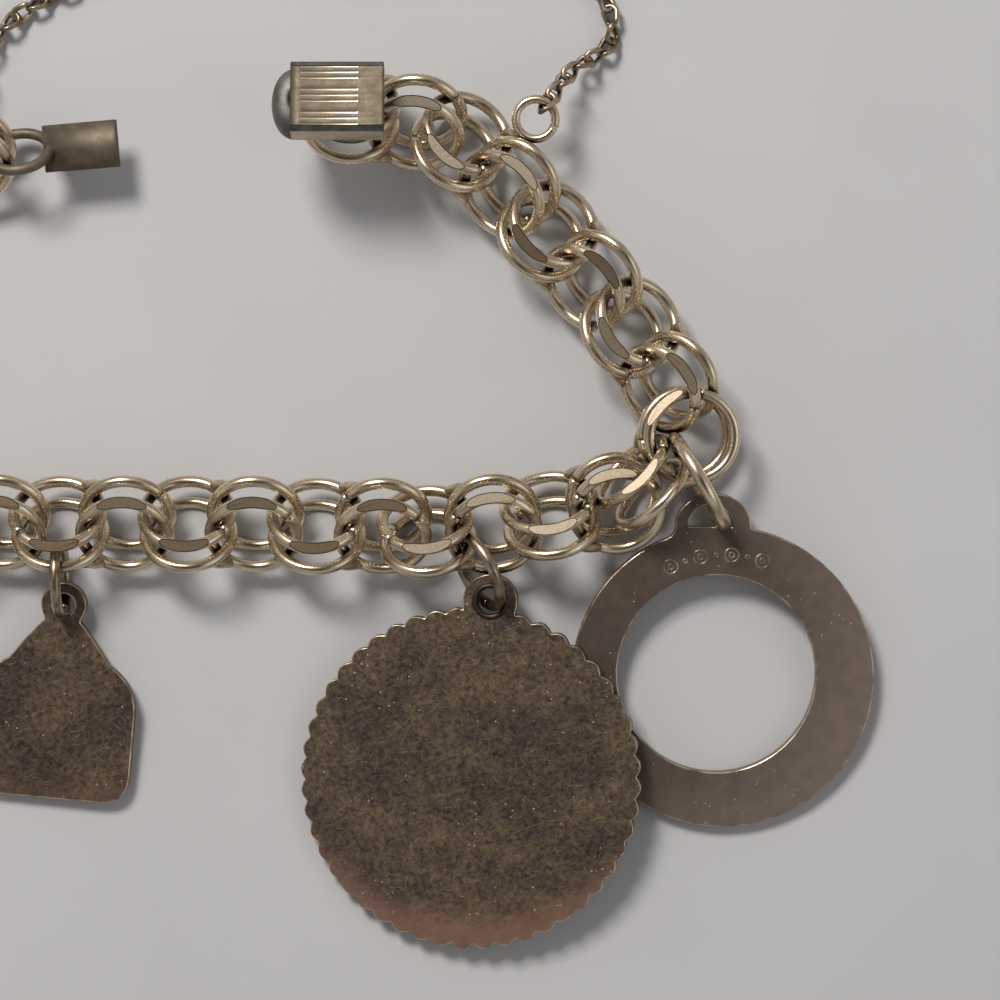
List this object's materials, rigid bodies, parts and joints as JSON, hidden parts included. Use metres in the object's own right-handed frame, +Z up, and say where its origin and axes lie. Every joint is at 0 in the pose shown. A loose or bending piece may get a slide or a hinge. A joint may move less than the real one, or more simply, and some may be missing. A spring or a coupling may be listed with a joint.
{
  "type": "charm bracelet",
  "caption": "Gold-filled charm bracelet lying open: double-ring chain, box clasp with tongue, fine safety chain and three flat charms on jump rings.",
  "frame": {"origin": "middle of the bounding box, on the surface the bracelet lies on", "axes": "+Z up from the surface, +X along the longest extent, the clasp and safety chain towards +Y, the charms towards -Y"},
  "size_m": [0.0906, 0.0774, 0.0102],
  "materials": {
    "chain_gold": "polished, worn",
    "clasp_gold": "satin",
    "tarnished_gold": "tarnished",
    "dark_patina": "dark mottled patina",
    "brown_patina": "satin patina"
  },
  "bodies": {
    "root": {"chain_unit_01": "chain_gold", "chain_unit_02": "chain_gold", "chain_unit_03": "chain_gold", "chain_unit_04": "chain_gold", "chain_unit_05": "chain_gold", "chain_unit_06": "chain_gold", "chain_unit_07": "chain_gold", "chain_unit_08": "chain_gold", "chain_unit_09": "chain_gold", "chain_unit_10": "chain_gold", "chain_unit_11": "chain_gold", "chain_unit_12": "chain_gold", "chain_unit_13": "chain_gold", "chain_unit_14": "chain_gold", "chain_unit_15": "chain_gold", "chain_unit_16": "chain_gold", "chain_unit_17": "chain_gold", "clasp_box": "clasp_gold", "clasp_tongue": "clasp_gold", "disc_charm": "dark_patina", "disc_jump_ring": "tarnished_gold", "ring_charm": "brown_patina", "ring_jump_ring": "chain_gold", "tag_charm": "dark_patina", "tag_jump_ring": "tarnished_gold", "safety_chain": "tarnished_gold"}
  },
  "joints": []
}
